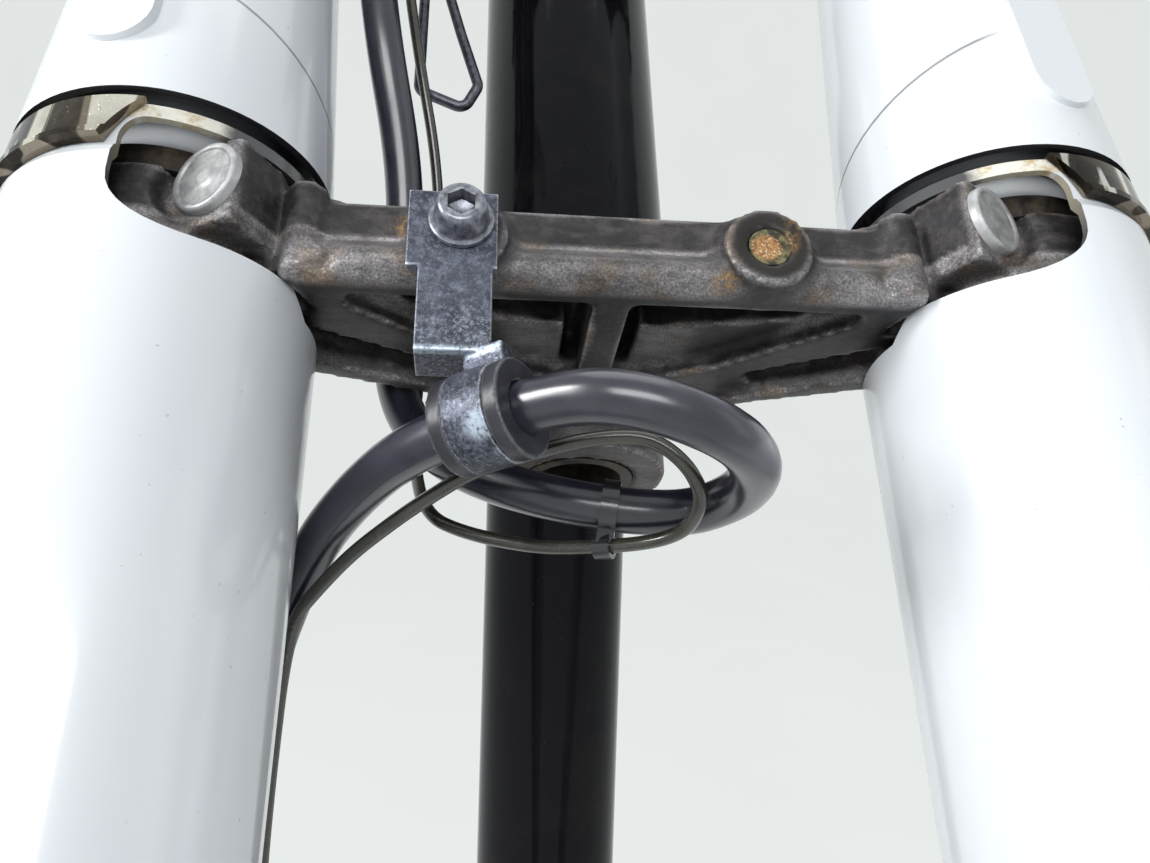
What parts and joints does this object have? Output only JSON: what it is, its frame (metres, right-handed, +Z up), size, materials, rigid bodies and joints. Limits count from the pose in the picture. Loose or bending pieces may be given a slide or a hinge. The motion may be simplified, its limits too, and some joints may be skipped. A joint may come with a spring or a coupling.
{
  "type": "motorcycle front fork",
  "caption": "Covered telescopic motorcycle fork with a cast lower yoke and a clamped brake hose, turning in its steering head.",
  "frame": {"origin": "centre of the backbone tube's open rear end", "axes": "+Z up, -Y forward, -X the rider's right, with the steering axis raked back 27 degrees"},
  "size_m": [0.2544, 0.503, 0.7289],
  "materials": {
    "yoke_casting": "worn black cast surface",
    "top_casting": "satin black cast",
    "cover_white": "gloss white paint",
    "chrome_trim": "polished chrome",
    "hard_chrome": "hard chrome",
    "slider_alloy": "polished alloy",
    "zinc_strap": "dull mottled zinc",
    "plated_steel": "dull zinc plate",
    "hose_black": "satin black",
    "rubber_black": "matt black",
    "frame_black": "gloss black paint"
  },
  "bodies": {
    "steering_head": {"head_tube": "frame_black", "backbone_tube": "frame_black", "down_tube": "frame_black", "head_gusset": "frame_black", "lower_bearing_cup": "plated_steel", "upper_bearing_cup": "plated_steel"},
    "fork": {"lower_yoke": "yoke_casting", "steering_stem": "plated_steel", "lower_bearing_cone": "plated_steel", "stem_adjuster": "plated_steel", "upper_yoke": "top_casting", "stem_top_nut": "plated_steel", "handlebar_clamp_caps": "top_casting", "hose_bracket": "zinc_strap", "bracket_screw": "plated_steel", "hose_grommet": "rubber_black", "brake_hose": "hose_black", "thin_cable": "hose_black", "cable_tie": "rubber_black", "hose_guide": "zinc_strap", "wire_guide": "plated_steel", "hose_lower_end": "plated_steel", "hose_upper_end": "plated_steel", "cable_lower_end": "plated_steel", "cable_upper_end": "plated_steel", "stanchion_right": "hard_chrome", "stanchion_left": "hard_chrome", "slider_right": "slider_alloy", "slider_left": "slider_alloy", "lower_cover_right": "cover_white", "lower_cover_left": "cover_white", "upper_cover_right": "cover_white", "upper_cover_left": "cover_white", "trim_ring_right": "chrome_trim", "trim_ring_left": "chrome_trim", "fork_cap_right": "chrome_trim", "fork_cap_left": "chrome_trim", "lower_pinch_bolt_right": "plated_steel", "lower_pinch_bolt_left": "plated_steel", "upper_pinch_bolt_right": "plated_steel", "upper_pinch_bolt_left": "plated_steel"}
  },
  "joints": [
    {"name": "steering", "type": "hinge", "parent": "steering_head", "child": "fork", "pos_m": [0, -0.18357, -0.10514], "axis": [0, 0.454, 0.891], "range_deg": [-35, 35]}
  ]
}
